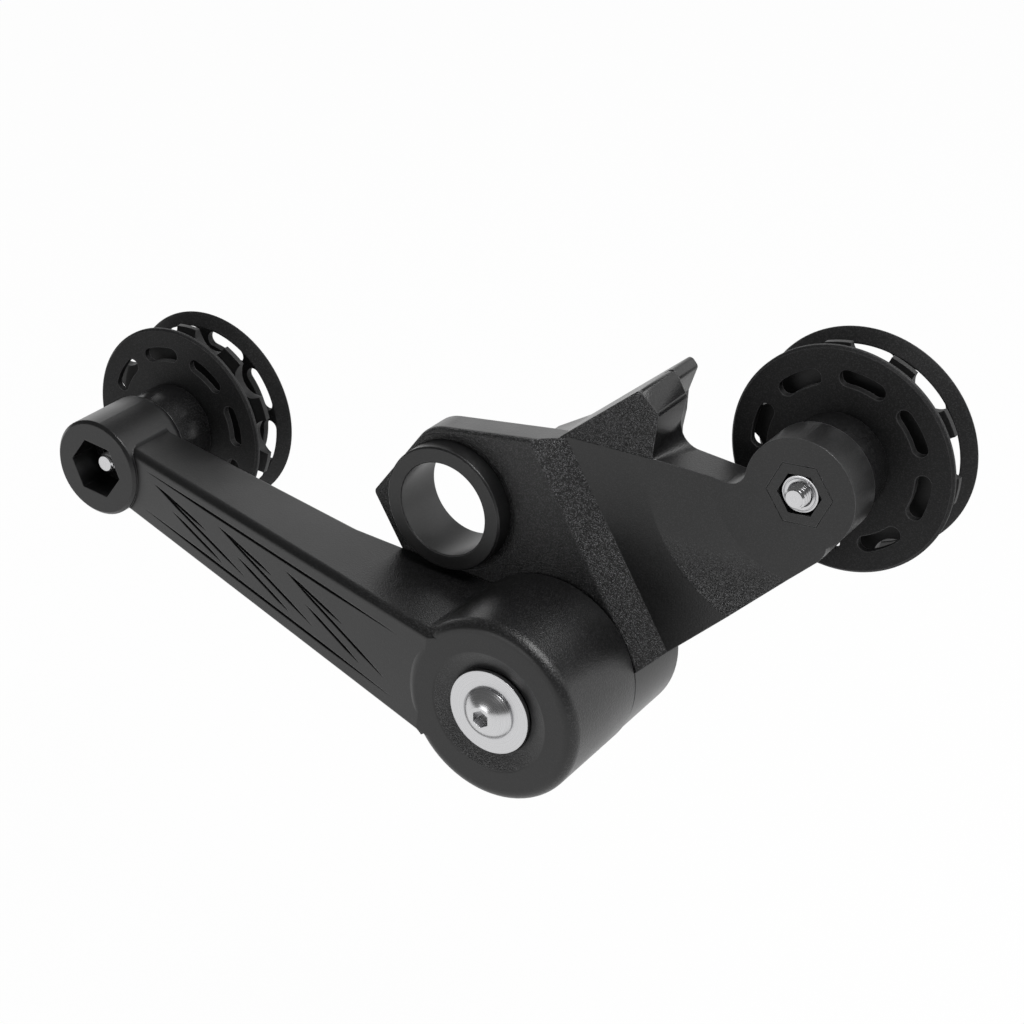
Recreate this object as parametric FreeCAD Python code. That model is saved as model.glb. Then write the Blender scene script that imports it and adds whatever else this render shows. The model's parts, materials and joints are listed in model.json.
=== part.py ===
"""Sprung bicycle chain tensioner with two idlers, in millimetres.

Seen from the front, x runs to the right and z up; y runs to the back, along
every axis of the tensioner. The origin is on the axis of the mounting bore,
in the front plane of the bracket's mounting plate.
"""
import FreeCAD, Part
import math
import os
from FreeCAD import Vector

# Where the axes are, seen from the front
pivot_x, pivot_z = 21.6, -26.8          # swing arm's pivot, from the mounting bore
arm_reach, arm_angle = 106.1, 172.3     # pivot to sprung idler, angle from +x towards +z
tail_reach, tail_angle = 63.1, 44.2     # pivot to fixed idler
plate_front = 0.0                       # front plane of the mounting plate

# Clearances
seat_gap = 0.02                         # pressed or clamped piece in its seat, radial
slip_gap = 0.10                         # nut, key or shank in its pocket, each side
run_gap = 0.05                          # turning fit, radial
side_gap = 0.30                         # between faces that turn past each other

# Mounting sleeve and plate
bore_radius = 9.15
bore_chamfer = 0.15
sleeve_radius = 12.2
sleeve_proud = 3.6                      # ahead of the plate
sleeve_back = 1.15                      # behind the plate
sleeve_chamfer = 0.35
ring_radius, ring_depth = 13.4, 0.4     # recess in the plate around the sleeve
plate_depth = 6.2
plate_left_reach = 16.5                 # bore axis to the plate's lower left edge
plate_nose_reach = 12.9                 # bore axis to its upper left edge
plate_top_reach = 14.6                  # bore axis to its top edge
nose_angle = 52.3                       # upper left edge, from +x
top_angle = 6.9                         # top edge, from +x
nose_round = 7.6
plate_heel = 9.2                        # lowest corner on the left, above the pivot
plate_edge_round = 0.9

# Slanted band between the plate and the tail, and the tail itself
band_angle = -59.7                      # run of the band, from +x
band_reach = 22.2                       # bore axis to the band's upper edge
band_width = 5.8
tail_step = 2.95                        # tail's front behind the plate's front
tail_back = 11.8                        # tail's rear, from the plate's front
tail_top = 17.6                         # height of the tail's top edge at the lug
tail_crest_drop = 1.6                   # it meets the idler boss this far below the axis
tail_web_x = 27.5                       # left end of the tail behind the plate
dish_outer, dish_inner = 28.6, 16.4     # cone around the fixed idler's axis
dish_depth = 1.75
tail_boss_radius = 10.3
tail_boss_depth = 7.7
tail_edge_reach = 11.3                  # fixed idler's axis to the tail's lower edge
tail_corner_round = 5.0
tail_notch_round = 3.0                  # where its top edge runs into the idler boss
tail_skin, tail_rib = 2.8, 2.2          # front wall and border of the rear pocket

# Hooked lug that keeps the bracket from turning
lug_left = 20.9                         # x where its top edge leaves the plate
lug_angle = 38.9                        # rise of its top edge
lug_length = 21.6                       # along the top edge
lug_knee_x, lug_knee_z = 18.6, 15.4      # behind the plate the lip's edge turns flatter here
lug_heel_x, lug_heel_z = 11.7, 11.4     # and ends here
lug_nose, lug_nose_turn = 5.4, 86.5     # width of its end face, and its turn from the top edge
lug_round = 0.9                         # corners of block and lip, seen from the front
lug_neck = 39.5                         # x of its root on the tail
lug_lean = 1.9                          # its front face leans out over this at the top
lug_block = 11.8                        # rear of the thick part
lug_lip_front = 11.0                    # front of the thin lip
lug_back = 17.8                         # rear of the thin lip
lug_lip_rise = 1.2                      # the lip is longer than the block by this
lug_lip, lug_lip_turn = 2.2, 87.0       # width of the lip's end face, and its turn
lug_waist, lug_waist_angle = 5.2, -109.0  # below it the lip's end leans back
lug_hip, lug_hip_angle = 3.8, -93.5     # then drops nearly upright
lug_lip_neck = 2.0                      # lip's root stands back by this from the block's
lug_root_front, lug_root_back = 0.7, 4.2

# Pivot
pivot_boss_radius = 17.6                # bracket's boss
pivot_boss_back = 16.0
cavity_radius = 11.8                    # spring chamber
cavity_back, cavity_front = 8.4, -15.1
arm_boss_radius = 17.8
arm_boss_front = -21.8
arm_boss_round = 2.2
seam_chamfer = 0.3                      # edges where the two pivot bosses meet
pivot_dish_radius, pivot_dish_depth = 11.9, 1.3
washer_seat_depth = 0.45                # below the dish
pivot_bolt_radius = 2.5
pivot_sleeve_radius = 4.2
pivot_sleeve_seat = 1.7
pivot_washer_radius, pivot_washer_depth = 8.15, 1.35
pivot_head_radius, pivot_head_height = 4.75, 2.75
pivot_key = 3.0                         # hexagon socket, across flats
pivot_nut_flats, pivot_nut_depth = 8.0, 4.0
spring_wire, spring_radius = 2.4, 8.8
spring_turns, spring_pitch = 5.5, 3.4
spring_leg = 3.8
stop_radius, stop_pin_radius = 14.7, 1.0
stop_pin_length, stop_slot_depth = 1.9, 2.2
stop_start, swing_range = 230.0, 60.0

# Swing arm's bar, between its two bosses
bar_half_root, bar_half_tip = 11.3, 6.45  # half height at the pivot and at the idler
bar_crease = 14.3                       # the panel begins this far from the pivot
panel_step = 0.85                       # panel behind the idler boss's face
bar_kick = 43.5                         # rear face leaves the bracket's plane here
bar_tip_back = 8.8                      # rear face at the idler's axis
bar_round, bar_low_round, bar_rear_round = 1.6, 0.5, 0.4  # upper and lower front edge, rear edges
root_round, tip_round = 3.0, 1.7         # concave corners between bar and bosses
root_overlap = 0.05                     # they are sunk into both by this
bar_wall, bar_skin = 2.2, 2.7           # borders and front wall of the rear pocket
bar_ribs, rib_width = 3, 1.5
arm_tip_radius = 10.2
arm_tip_front, arm_tip_back = -5.05, 11.3
arm_tip_chamfer, arm_tip_rear_round = 0.6, 1.8
groove_width, groove_depth = 0.6, 0.5
groove_margin = 7.0                     # grooves end this far from the two bosses
groove_sets = 3

# Idlers
guide_front = 20.4                      # front face of the front guide disc
guide_radius = 21.1
front_guide_depth, rear_guide_depth = 1.4, 2.6
sprung_gap, fixed_gap = 8.3, 7.1        # for the chain, between the guide discs
rim_width, rim_drop = 2.3, 1.5          # bevel round the rear disc's inner face
rear_web = 1.4                          # rear disc between its rim and its hub
front_slot_count, rear_slot_count = 8, 9
front_slot_radius, front_slot_half, front_slot_span = 15.6, 1.5, 21.5
rear_slot_radius, rear_slot_half, rear_slot_span = 17.0, 1.6, 21.6
tooth_count, chain_pitch, roller_radius = 10, 12.7, 3.9
tooth_tip_radius, tooth_depth, tooth_flare = 20.25, 2.3, 3.0
tooth_bevel, tooth_bevel_depth = 2.0, 0.6
hub_radius, spigot_radius = 10.5, 6.7
bush_radius, idler_bolt_radius = 3.4, 2.0
collar_radius, shank_corner = 9.2, 6.15
idler_nut_flats, idler_nut_depth = 7.0, 3.2
nut_recess = 0.3                        # nut's face behind the shank's
nut_face_inset = 0.25                   # its flat ring, inside the flats
idler_washer_radius, idler_washer_depth = 5.0, 0.9
idler_head_radius, idler_head_height, idler_key = 3.8, 2.2, 2.5
thread_chamfer = 0.5

# Each idler: slots and teeth at rest, the front of its spacer and the end of its screw
sprung_slots, sprung_rear_slots, sprung_teeth = 12.0, 28.3, 18.2
fixed_slots, fixed_rear_slots, fixed_teeth = 33.0, 48.3, 28.9
tip_hexagon, tail_hexagon = 0.0, 3.5     # turn of the shanks, the first against the arm
sprung_shank_front, sprung_bolt_end = 1.7, -2.4
fixed_bolt_end = 2.7

far = 400.0                             # longer than the whole tensioner


def polar(x, z, reach, angle):
    """Point at a reach and an angle from (x, z), seen from the front."""
    a = math.radians(angle)
    return x + reach * math.cos(a), z + reach * math.sin(a)


tip_x, tip_z = polar(pivot_x, pivot_z, arm_reach, arm_angle)
tail_x, tail_z = polar(pivot_x, pivot_z, tail_reach, tail_angle)
tail_boss_front = tail_step + dish_depth
tail_boss_back = tail_boss_front + tail_boss_depth
arm_back = plate_front - side_gap
socket_corner = shank_corner + slip_gap


def cylinder(x, z, radius, y0, y1):
    """Round bar along y."""
    return Part.makeCylinder(radius, y1 - y0, Vector(x, y0, z), Vector(0, 1, 0))


def tube(x, z, outer, inner, y0, y1):
    """Round bar with a through bore."""
    return cylinder(x, z, outer, y0, y1).cut(cylinder(x, z, inner, y0 - 1, y1 + 1))


def prism(points, y0, y1):
    """Straight-sided block with an outline seen from the front."""
    corners = [Vector(x, y0, z) for x, z in points]
    face = Part.Face(Part.makePolygon(corners + corners[:1]))
    return face.extrude(Vector(0, y1 - y0, 0))


def hexagon(x, z, corner, y0, y1, turn=0.0):
    """Hexagonal bar along y, with a corner at the angle turn."""
    return prism([polar(x, z, corner, turn + 60 * k) for k in range(6)], y0, y1)


def across_flats(flats):
    """Corner radius of a hexagon of that width."""
    return flats / math.sqrt(3)


def turned(x, z, profile):
    """Solid of revolution about the y axis at (x, z), from (radius, y) points."""
    corners = [Vector(x + r, y, z) for r, y in profile]
    face = Part.Face(Part.makePolygon(corners + corners[:1]))
    return face.revolve(Vector(x, 0, z), Vector(0, 1, 0), 360)


def crossing(line_a, line_b):
    """Where two lines meet, each given by its distance from the bore and its angle."""
    (da, aa), (db, ab) = line_a, line_b
    na = (-math.sin(math.radians(aa)), math.cos(math.radians(aa)))
    nb = (-math.sin(math.radians(ab)), math.cos(math.radians(ab)))
    det = na[0] * nb[1] - na[1] * nb[0]
    return (da * nb[1] - db * na[1]) / det, (na[0] * db - nb[0] * da) / det


def round_edges(solid, radius, wanted):
    """Fillets the edges that a test picks."""
    return solid.makeFillet(radius, [e for e in solid.Edges if wanted(e)])


def chamfer_edge(solid, size, y):
    """Chamfers the edges that lie in a plane square to the y axis."""
    return solid.makeChamfer(size, [e for e in solid.Edges if abs(e.CenterOfMass.y - y) < 1e-3])


def along_y(edge):
    """True for a straight edge that runs from front to back."""
    a, b = edge.Vertexes[0].Point, edge.Vertexes[-1].Point
    return len(edge.Vertexes) == 2 and abs(a.x - b.x) + abs(a.z - b.z) < 1e-4 < abs(a.y - b.y)


def near(edge, x, z, reach):
    """True where the middle of an edge lies close to (x, z), seen from the front."""
    c = edge.CenterOfMass
    return math.hypot(c.x - x, c.z - z) < reach


# Bracket

def plate_outline():
    """Mounting plate with its blunt nose on the left, down to the pivot boss."""
    left = (-plate_left_reach, band_angle)
    nose = crossing(left, (plate_nose_reach, nose_angle))
    crown = crossing((plate_nose_reach, nose_angle), (plate_top_reach, top_angle))
    slope = math.tan(math.radians(band_angle))
    heel_z = pivot_z + plate_heel
    heel = (nose[0] + (heel_z - nose[1]) / slope, heel_z)
    toe = polar(pivot_x, pivot_z, pivot_boss_radius, 215)
    return [nose, crown, lug_start(), (lug_neck, tail_top), (pivot_x, pivot_z), toe, heel], crown


def lug_start():
    """Where the lug's top edge leaves the top edge of the plate."""
    crown = crossing((plate_nose_reach, nose_angle), (plate_top_reach, top_angle))
    return lug_left, crown[1] + (lug_left - crown[0]) * math.tan(math.radians(top_angle))


def mounting_plate():
    """Plate with a rounded crown and a softened front edge along the nose and the top."""
    outline, crown = plate_outline()
    plate = prism(outline, plate_front, plate_front + plate_depth)
    plate = round_edges(plate, nose_round, lambda e: along_y(e) and near(e, *crown, 1))
    return round_edges(plate, plate_edge_round, lambda e: abs(e.CenterOfMass.y - plate_front) < 1e-3
                       and e.CenterOfMass.z > 0 and e.CenterOfMass.x < lug_left - 1)


def band_cut():
    """Takes the front off the tail, along the slanted band."""
    start = band_reach
    profile = [(start, plate_front), (start + band_width, tail_step), (far, tail_step),
               (far, -far), (start, -far)]
    run = Vector(math.cos(math.radians(band_angle)), 0, math.sin(math.radians(band_angle)))
    side = Vector(-run.z, 0, run.x)
    corners = [side * s + Vector(0, y, 0) - run * far for s, y in profile]
    face = Part.Face(Part.makePolygon(corners + corners[:1]))
    return face.extrude(run * 2 * far)


def dish_cut():
    """Shallow cone around the fixed idler's axis, below the lug."""
    cone = turned(tail_x, tail_z, [(0, tail_boss_front), (dish_inner, tail_boss_front),
                                   (dish_outer, tail_step), (dish_outer, -far), (0, -far)])
    low = prism([(-far, -far), (far, -far), (far, tail_top), (-far, tail_top)], -2 * far, far)
    boss_side = cylinder(tail_x, tail_z, dish_inner, -2 * far, far)
    return cone.common(low.fuse(boss_side))


def tail_crest(x):
    """Point of the tail's top edge, which runs from the lug to the idler boss."""
    run = tail_x - tail_boss_radius - lug_neck
    fall = tail_top - (tail_z - tail_crest_drop)
    return x, tail_top - fall * (x - lug_neck) / run


def tail():
    """Flat tail from the pivot boss to the fixed idler, with a straight lower edge."""
    low = polar(pivot_x, pivot_z, pivot_boss_radius, 9)
    dx, dz = tail_x - low[0], tail_z - low[1]
    run = math.degrees(math.atan2(dz, dx)) - math.degrees(
        math.asin(tail_edge_reach / math.hypot(dx, dz)))
    under = polar(tail_x, tail_z, tail_edge_reach, run - 90)
    outline = [(pivot_x, pivot_z), low, under, (tail_x, tail_z),
               tail_crest(tail_x - tail_boss_radius / 2), (lug_neck, tail_top),
               (tail_web_x, tail_top), (sleeve_radius, 0)]
    return round_edges(prism(outline, plate_front, tail_back), tail_corner_round,
                       lambda e: along_y(e) and near(e, *under, 0.1))


def tail_pocket():
    """Hollow in the rear of the tail, between the pivot boss and the idler boss."""
    middle = (tail_reach + pivot_boss_radius - tail_boss_radius) / 2
    near_end = polar(pivot_x, pivot_z, pivot_boss_radius + tail_rib, tail_angle)
    far_end = polar(tail_x, tail_z, -tail_boss_radius - tail_rib, tail_angle)
    half = tail_edge_reach - tail_rib
    side = tail_angle + 90
    waist = polar(pivot_x, pivot_z, middle, tail_angle)
    points = [polar(*near_end, -half * 0.7, side), polar(*waist, -half * 0.72, side),
              polar(*far_end, -half * 0.75, side), polar(*far_end, half * 0.5, side),
              polar(*waist, half * 0.75, side), polar(*near_end, half * 0.8, side)]
    pocket = prism(points, tail_step + dish_depth + tail_skin, far)
    rib = prism([polar(*waist, -far, side), polar(*waist, far, side),
                 polar(*polar(*waist, rib_width, tail_angle), far, side),
                 polar(*polar(*waist, rib_width, tail_angle), -far, side)], -far, 2 * far)
    return round_edges(pocket, rib_width, along_y).cut(rib)


def lug_corners():
    """The block's top corner and the lower corner of its end face."""
    top = polar(*lug_start(), lug_length, lug_angle)
    return top, polar(*top, lug_nose, lug_angle - lug_nose_turn)


def rounded_prism(points, corners, y0, y1):
    """Prism whose outline is rounded at some of its corners."""
    return round_edges(prism(points, y0, y1), lug_round, lambda e: along_y(e) and any(
        near(e, *corner, 0.1) for corner in corners))


def lug():
    """Hooked lug: a thick block in front and a thin lip behind it."""
    start, (top, nose) = lug_start(), lug_corners()
    sunk = tail_top - plate_depth
    heel, knee = (lug_heel_x, lug_heel_z), (lug_knee_x, lug_knee_z)
    block = [(start[0], sunk), start, top, nose, (lug_neck, tail_top), (lug_neck, sunk)]
    web = [(heel[0], heel[1] - lug_nose), heel, knee] + block[2:]
    crest = polar(*top, lug_lip_rise, lug_angle)
    end = polar(*crest, lug_lip, lug_angle - lug_lip_turn)
    waist = polar(*end, lug_waist, lug_waist_angle)
    hip = polar(*waist, lug_hip, lug_hip_angle)
    root = lug_neck - lug_lip_neck
    lip = web[:3] + [crest, end, waist, hip, (root, tail_top), (root, sunk)]
    thick = rounded_prism(block, (top, nose), plate_front - 2, lug_block)
    middle = rounded_prism(web, (top, nose), plate_front + plate_depth - 1, lug_block)
    thin = rounded_prism(lip, (crest, end), lug_lip_front, lug_back)
    rise = top[1] - tail_top
    lean = [Vector(-far, tail_step - far * lug_lean / rise, tail_top + far),
            Vector(-far, tail_step, tail_top), Vector(-far, tail_step, -far),
            Vector(-far, -far, -far), Vector(-far, -far, tail_top + far)]
    ahead = Part.Face(Part.makePolygon(lean + lean[:1])).extrude(Vector(2 * far, 0, 0))
    return thick.fuse([middle, thin]).cut(ahead)


def stop_slot():
    """Arc in the bracket's boss for the arm's stop pin."""
    reach = stop_pin_radius + side_gap
    ends = math.degrees(side_gap / stop_radius)
    ring = tube(pivot_x, pivot_z, stop_radius + reach, stop_radius - reach,
                plate_front - 1, plate_front + stop_slot_depth)
    a0, a1 = stop_start - ends, stop_start + swing_range + ends
    fan = [(pivot_x, pivot_z)]
    for k in range(7):
        fan.append(polar(pivot_x, pivot_z, 2 * stop_radius, a0 + (a1 - a0) * k / 6))
    slot = ring.common(prism(fan, -2, plate_front + stop_slot_depth))
    for a in (a0, a1):
        x, z = polar(pivot_x, pivot_z, stop_radius, a)
        slot = slot.fuse(cylinder(x, z, reach - 0.001, plate_front - 1,
                                  plate_front + stop_slot_depth))
    return slot


def bracket():
    """Moulded bracket: plate, slanted band, lug, tail and pivot boss in one piece."""
    boss = cylinder(pivot_x, pivot_z, pivot_boss_radius, plate_front, pivot_boss_back)
    boss = chamfer_edge(boss, seam_chamfer / 2, plate_front)
    body = mounting_plate().fuse([tail(), boss])
    body = body.cut(band_cut()).fuse(lug())
    body = body.cut(dish_cut())
    body = body.fuse(cylinder(tail_x, tail_z, tail_boss_radius, tail_boss_front, tail_boss_back))
    body = body.fuse(lug_root())
    body = body.removeSplitter()
    notch = tail_crest(tail_x - tail_boss_radius)
    body = round_edges(body, tail_notch_round, lambda e: along_y(e) and near(e, *notch, tail_crest_drop))
    body = body.cut([cylinder(0, 0, sleeve_radius + seat_gap, -1, far),
                     cylinder(0, 0, ring_radius, plate_front - 1, plate_front + ring_depth)])
    body = body.cut(hexagon(tail_x, tail_z, socket_corner, -1, far, tail_hexagon))
    body = body.cut(cylinder(pivot_x, pivot_z, cavity_radius, -1, cavity_back))
    seat = cylinder(pivot_x, pivot_z, pivot_sleeve_radius + seat_gap, 0, cavity_back + pivot_sleeve_seat)
    through = cylinder(pivot_x, pivot_z, pivot_bolt_radius + slip_gap, 0, far)
    nut_seat = hexagon(pivot_x, pivot_z, across_flats(pivot_nut_flats + 2 * slip_gap),
                       pivot_boss_back - pivot_nut_depth, far)
    return body.cut([seat, through, nut_seat, stop_slot(), spring_hole(1), tail_pocket()])


def lug_root():
    """Concave fillet between lug and tail, wider towards the back."""
    nose = lug_corners()[1]
    side = math.degrees(math.atan2(nose[1] - tail_top, nose[0] - lug_neck))
    crest = tail_crest(tail_x)
    fall = math.degrees(math.atan2(crest[1] - tail_top, crest[0] - lug_neck))
    middle, half = (side + fall) / 2, (side - fall) / 2
    wires = []
    for y, radius in ((tail_step, lug_root_front), (tail_back, lug_root_back)):
        run = radius / math.tan(math.radians(half))
        centre = polar(lug_neck, tail_top, radius / math.sin(math.radians(half)), middle)
        points = [polar(lug_neck, tail_top, -0.4, middle), polar(lug_neck, tail_top, run, side),
                  polar(*centre, -radius, middle), polar(lug_neck, tail_top, run, fall)]
        a, b, c, d = [Vector(x, y, z) for x, z in points]
        wires.append(Part.Wire([Part.makeLine(a, b), Part.Arc(b, c, d).toShape(), Part.makeLine(d, a)]))
    return Part.makeLoft(wires, True, True)


# Spring

def spring_ends():
    """Middle of the wire at the front and rear end of the coil."""
    length = spring_turns * spring_pitch
    middle = (cavity_front + cavity_back) / 2
    return middle - length / 2, middle + length / 2


def spring_leg_place(side):
    """The leg's x and z at the arm's end (-1) or the bracket's end (1)."""
    angle = 90 if side < 0 else 90 - 360 * spring_turns
    return polar(pivot_x, pivot_z, spring_radius, angle)


def spring_hole(side):
    """Hole for a leg of the spring, in the bracket (1) or in the arm (-1)."""
    x, z = spring_leg_place(side)
    y = spring_ends()[(side + 1) // 2]
    reach = spring_wire / 2 + slip_gap
    if side < 0:
        return cylinder(x, z, reach, cavity_front - spring_leg, y)
    return cylinder(x, z, reach, y, cavity_back + spring_leg)


def torsion_spring():
    """Coil of tilted half rings, with a straight leg into the arm and one into the bracket."""
    front, back = spring_ends()
    rise = spring_pitch / 4
    ring_radius = math.hypot(spring_radius, rise)
    tilt = math.degrees(math.atan2(rise, spring_radius))
    wires = []
    for k in range(round(2 * spring_turns)):
        half = Part.makeTorus(ring_radius, spring_wire / 2, Vector(0, 0, 0), Vector(0, 0, 1), 0, 360, 180)
        half.rotate(Vector(0, 0, 0), Vector(0, 1, 0), tilt)
        half.rotate(Vector(0, 0, 0), Vector(1, 0, 0), -90)
        half.rotate(Vector(0, 0, 0), Vector(0, 1, 0), 180 * k - 90)
        half.translate(Vector(pivot_x, front + rise * (2 * k + 1), pivot_z))
        wires.append(half)
    for y, end, side in ((front, cavity_front - spring_leg + 1, -1), (back, cavity_back + spring_leg - 1, 1)):
        x, z = spring_leg_place(side)
        wires.append(cylinder(x, z, spring_wire / 2, min(y, end), max(y, end)))
        wires.append(Part.makeSphere(spring_wire / 2 + seat_gap, Vector(x, y, z)))
    return wires[0].fuse(wires[1:])


# Swing arm, first along -x from the pivot and then turned to its place

def panel_y(u, inward=0.0):
    """Front face of the bar at a distance u from the pivot."""
    fall = arm_tip_front + panel_step - arm_boss_front
    slope = fall / (arm_reach - arm_tip_radius - bar_crease)
    return arm_boss_front + inward + slope * max(0.0, u - bar_crease)


def bar_half(u, inset=0.0):
    """Half height of the bar at a distance u from the pivot."""
    return bar_half_root + (bar_half_tip - bar_half_root) * u / arm_reach - inset


def plan_block(points):
    """Block with an outline seen from above, through the whole height."""
    corners = [Vector(-u, y, -far) for u, y in points]
    return Part.Face(Part.makePolygon(corners + corners[:1])).extrude(Vector(0, 0, 2 * far))


def bar_side(u0, u1, inset=0.0):
    """Tapering side of the bar, seen from the front, between two distances."""
    points = [(-u0, bar_half(u0, inset)), (-u1, bar_half(u1, inset)),
              (-u1, -bar_half(u1, inset)), (-u0, -bar_half(u0, inset))]
    return prism(points, -far, far)


def bar_plan(inward=0.0):
    """The bar's outline seen from above, its front face moved back by inward."""
    return [(0, arm_boss_front + inward), (bar_crease, arm_boss_front + inward),
            (arm_reach, panel_y(arm_reach, inward)), (arm_reach, bar_tip_back),
            (bar_kick, arm_back), (0, arm_back)]


def bar():
    """Tapered bar that slants back towards the idler, its edges rounded."""
    body = plan_block(bar_plan()).common(bar_side(0, arm_reach))
    for radius, up, behind in ((bar_round, 1, -1), (bar_low_round, -1, -1),
                               (bar_rear_round, 1, 1), (bar_rear_round, -1, 1)):
        body = round_edges(body, radius, lambda e: e.Length > arm_reach / 2 and behind * (
            e.CenterOfMass.y - arm_back) > 0 and up * e.CenterOfMass.z > bar_half_tip / 2)
    return body


def bar_pocket():
    """Open pocket in the bar's rear, with slanted ribs left standing."""
    a, b = arm_boss_radius + bar_wall, arm_reach - arm_tip_radius - bar_wall
    plan = [(a, panel_y(a, bar_skin)), (b, panel_y(b, bar_skin)), (b, far), (a, far)]
    pocket = plan_block(plan).common(bar_side(a, b, bar_wall))
    step = (b - a) / (bar_ribs + 1)
    for k in range(bar_ribs):
        u = a + step * (k + 1)
        lean = step / 3 * (-1) ** k
        rib = prism([(-u - lean, 2 * bar_half_root), (-u - lean - rib_width, 2 * bar_half_root),
                     (-u + lean - rib_width, -2 * bar_half_root),
                     (-u + lean, -2 * bar_half_root)], -far, far)
        pocket = pocket.cut(rib)
    return pocket


def needle(u0, w0, u1, w1):
    """Fine engraved stroke on the panel, pointed at both ends."""
    length = math.hypot(u1 - u0, w1 - w0)
    sx, sz = (w1 - w0) / length * groove_width / 2, (u1 - u0) / length * groove_width / 2
    third = [(u0 + (u1 - u0) * t, w0 + (w1 - w0) * t) for t in (0.25, 0.75)]
    points = [(u0, w0)] + [(u + sx, w - sz) for u, w in third] + [(u1, w1)]
    points += [(u - sx, w + sz) for u, w in reversed(third)]
    stroke = prism([(-u, w) for u, w in points], -far, far)
    a, b = bar_crease, arm_reach
    skin = plan_block([(a, panel_y(a, groove_depth)), (b, panel_y(b, groove_depth)), (b, -far), (a, -far)])
    return stroke.common(skin)


def ornament():
    """Engraved lines: two long ones along the panel and sets of long slanting rays between them."""
    start, end = bar_crease + groove_margin, arm_reach - arm_tip_radius - groove_margin / 3
    strokes = [needle(start, 0.60 * bar_half(start), end, 0.64 * bar_half(end)),
               needle(start, -0.72 * bar_half(start), end, -0.60 * bar_half(end))]
    pitch = (end - start) / (groove_sets + 0.7)
    rays = ((0.10, -0.46, 1.55, 0.40), (0.72, 0.06, 1.55, 0.40), (0.45, -0.52, 1.25, -0.06))
    for k in range(groove_sets):
        for u0, w0, u1, w1 in rays:
            u, v = start + pitch * (k + u0), start + pitch * (k + u1)
            strokes.append(needle(u, w0 * bar_half(u), v, w1 * bar_half(v)))
    return strokes


def washer_floor():
    """Depth of the recess for the pivot washer."""
    return arm_boss_front + pivot_dish_depth + washer_seat_depth


def swing_arm():
    """Moulded arm: spring housing at the pivot, ribbed bar and idler boss."""
    boss = cylinder(0, 0, arm_boss_radius, arm_boss_front, arm_back)
    boss = round_edges(boss, arm_boss_round, lambda e: abs(e.CenterOfMass.y - arm_boss_front) < 1e-3)
    boss = chamfer_edge(boss, seam_chamfer, arm_back)
    tip = cylinder(-arm_reach, 0, arm_tip_radius, arm_tip_front, arm_tip_back)
    tip = chamfer_edge(tip, arm_tip_chamfer, arm_tip_front)
    tip = round_edges(tip, arm_tip_rear_round, lambda e: abs(e.CenterOfMass.y - arm_tip_back) < 1e-3)
    roots = root_fillets(0, arm_boss_radius, root_round, 1)
    roots += root_fillets(arm_reach, arm_tip_radius, tip_round, -1)
    body = bar().fuse([boss, tip] + roots).removeSplitter()
    body = body.cut([bar_pocket()] + ornament())
    seat, rim = washer_floor(), pivot_washer_radius + 2 * slip_gap
    dish = turned(0, 0, [(0, seat), (rim, seat), (rim, seat - washer_seat_depth),
                         (pivot_dish_radius, arm_boss_front), (pivot_dish_radius, -far), (0, -far)])
    body = body.cut([dish, hexagon(-arm_reach, 0, socket_corner, -far, far, tip_hexagon)])
    body.rotate(Vector(0, 0, 0), Vector(0, 1, 0), 180 - arm_angle)
    body.translate(Vector(pivot_x, 0, pivot_z))
    body = body.cut([cylinder(pivot_x, pivot_z, cavity_radius, cavity_front, far),
                     cylinder(pivot_x, pivot_z, pivot_sleeve_radius + run_gap, -far, far),
                     spring_hole(-1)])
    x, z = polar(pivot_x, pivot_z, stop_radius, stop_start)
    return body.fuse(cylinder(x, z, stop_pin_radius, arm_back - 1, arm_back + stop_pin_length))


def root_fillets(boss_u, boss_radius, radius, side):
    """Concave corners between the bar's two edges and a boss; side is 1 where the bar starts."""
    lean = math.atan2(bar_half_tip - bar_half_root, arm_reach)
    half = bar_half(boss_u) * math.cos(lean)
    run = side * math.sqrt((boss_radius + radius) ** 2 - (half + radius) ** 2)
    centre_u = boss_u + run * math.cos(lean) - (half + radius) * math.sin(lean)
    centre_w = run * math.sin(lean) + (half + radius) * math.cos(lean)
    foot = (centre_u + (radius + root_overlap) * math.sin(lean),
            centre_w - (radius + root_overlap) * math.cos(lean))
    reach = (boss_radius - root_overlap) / (boss_radius + radius)
    head = (boss_u + (centre_u - boss_u) * reach, centre_w * reach)
    middle = polar(centre_u, centre_w, -radius, math.degrees(math.atan2(
        2 * centre_w - foot[1] - head[1], 2 * centre_u - foot[0] - head[0])))
    outline = [Vector(-u, -far, w) for u, w in ((boss_u, 0), foot, middle, head)]
    wire = Part.Wire([Part.makeLine(outline[0], outline[1]), Part.Arc(*outline[1:]).toShape(),
                      Part.makeLine(outline[3], outline[0])])
    upper = Part.Face(wire).extrude(Vector(0, 2 * far, 0))
    lower = upper.mirror(Vector(0, 0, 0), Vector(0, 0, 1))
    return [upper.common(plan_block(bar_plan(bar_round))), lower.common(plan_block(bar_plan(bar_low_round)))]


# Turned and pressed pieces

def socket_screw(x, z, shank, head, height, key, under_head, end, toward):
    """Button-head screw; toward is the head's side, -1 for the front."""
    top = under_head + toward * height
    shoulder = under_head + toward * height * 0.35
    crown = [(0, top), (head * 0.55, top), (head * 0.88, (top + shoulder) / 2), (head, shoulder),
             (head, under_head), (0, under_head)]
    screw = turned(x, z, crown)
    tip = shank - thread_chamfer
    screw = screw.fuse(turned(x, z, [(0, under_head - toward * -0.5), (shank, under_head - toward * -0.5),
                                     (shank, end + toward * thread_chamfer), (tip, end), (0, end)]))
    depth = height * 0.6
    low, high = sorted((top + toward, top - toward * depth))
    return screw.cut(hexagon(x, z, across_flats(key), low, high, 12))


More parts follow.
